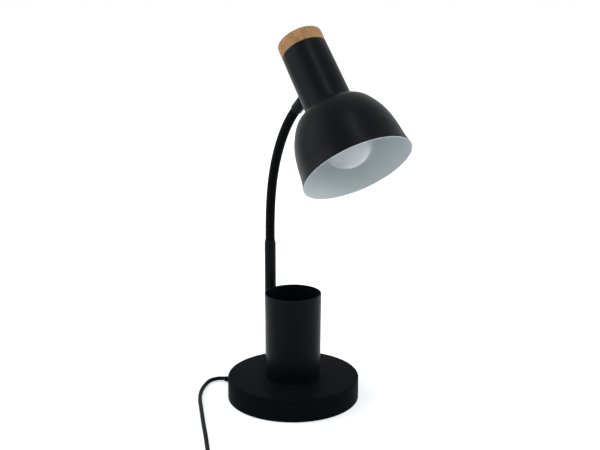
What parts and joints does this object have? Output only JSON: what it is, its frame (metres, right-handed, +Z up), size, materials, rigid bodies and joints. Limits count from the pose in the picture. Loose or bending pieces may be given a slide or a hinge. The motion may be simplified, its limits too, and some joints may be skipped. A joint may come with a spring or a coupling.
{
  "type": "desk lamp with pen holder",
  "caption": "Black gooseneck desk lamp with a bell shade, wooden cap, globe bulb, round weighted base and pen cup.",
  "frame": {"origin": "middle of the base's foot on the desk", "axes": "+Z up, -Y to the front, where the head leans over the cup, +X to the right seen from the front"},
  "size_m": [0.3042, 0.3267, 0.4513],
  "materials": {
    "black_paint": "satin black powder coat",
    "black_plastic": "fine matt moulding",
    "wood": "light beech, oiled",
    "frosted_glass": "frosted white",
    "steel": "zinc plated",
    "brass": "plain",
    "cast_iron": "as cast",
    "foam": "matt foam rubber",
    "ceramic": null,
    "rubber": "matt cable sheath",
    "wire": "wire insulation"
  },
  "bodies": {
    "stand": {"base_housing": "black_paint", "base_cover": "steel", "base_weight": "cast_iron", "foot_pad": "foam", "cover_screw_1": "steel", "cover_screw_2": "steel", "cover_screw_3": "steel", "pen_cup": "black_paint", "cup_bolt": "steel", "cup_washer": "steel", "cup_nut": "steel", "stem_tube": "black_paint", "stem_nipple": "steel", "stem_washer": "steel", "stem_nut": "steel", "stem_collar": "black_paint", "strain_relief": "rubber", "base_lead": "rubber", "gooseneck_section_1": "black_paint", "cord_lead": "rubber", "switch_lower_shell": "black_plastic", "switch_upper_shell": "black_plastic", "switch_screw_1": "steel", "switch_screw_2": "steel", "cord_run": "rubber", "cord_coil": "rubber", "cord_tie": "rubber", "cord_tail": "rubber", "plug_body": "black_plastic", "plug_pin_1": "steel", "plug_pin_2": "steel"},
    "neck_2": {"gooseneck_section_2": "black_paint"},
    "neck_3": {"gooseneck_section_3": "black_paint"},
    "neck_4": {"gooseneck_section_4": "black_paint"},
    "neck_5": {"gooseneck_section_5": "black_paint"},
    "head": {"gooseneck_section_6": "black_paint", "arm_ferrule": "black_paint", "ferrule_nut": "steel", "holder_bracket": "steel", "head_lead": "rubber", "live_wire": "wire", "neutral_wire": "wire", "shade": "black_paint", "wood_cap": "wood", "cap_screw": "steel", "lampholder_shell": "black_plastic", "lampholder_core": "ceramic", "thread_sleeve": "brass", "centre_contact": "brass", "lampholder_nipple": "steel", "lampholder_nut": "steel"},
    "bulb": {"bulb_globe": "frosted_glass", "bulb_cap": "steel", "bulb_seal": "black_plastic", "bulb_contact": "brass"},
    "rocker": {"switch_rocker": "black_plastic"}
  },
  "joints": [
    {"name": "gooseneck_bend_1", "type": "hinge", "parent": "stand", "child": "neck_2", "pos_m": [0, 0.04972, 0.21939], "axis": [1, 0, 0], "range_deg": [-25, 20]},
    {"name": "gooseneck_bend_2", "type": "hinge", "parent": "neck_2", "child": "neck_3", "pos_m": [0, 0.04661, 0.24951], "axis": [0, -0.9881, -0.1537], "range_deg": [-20, 20]},
    {"name": "gooseneck_bend_3", "type": "hinge", "parent": "neck_3", "child": "neck_4", "pos_m": [0, 0.03979, 0.27901], "axis": [1, 0, 0], "range_deg": [-25, 20]},
    {"name": "gooseneck_bend_4", "type": "hinge", "parent": "neck_4", "child": "neck_5", "pos_m": [0, 0.02864, 0.30715], "axis": [0, -0.8985, -0.4389], "range_deg": [-20, 20]},
    {"name": "gooseneck_bend_5", "type": "hinge", "parent": "neck_5", "child": "head", "pos_m": [0, 0.01308, 0.3331], "axis": [1, 0, 0], "range_deg": [-25, 20]},
    {"name": "bulb_unscrew", "type": "slide", "parent": "head", "child": "bulb", "axis": [0, -0.6545, -0.7561], "range_m": [0, 0.03]},
    {"name": "switch_rock", "type": "hinge", "parent": "stand", "child": "rocker", "pos_m": [-0.19195, -0.1243, 0.0104], "axis": [-0.8318, 0.5551, 0], "range_deg": [0, 16]}
  ]
}
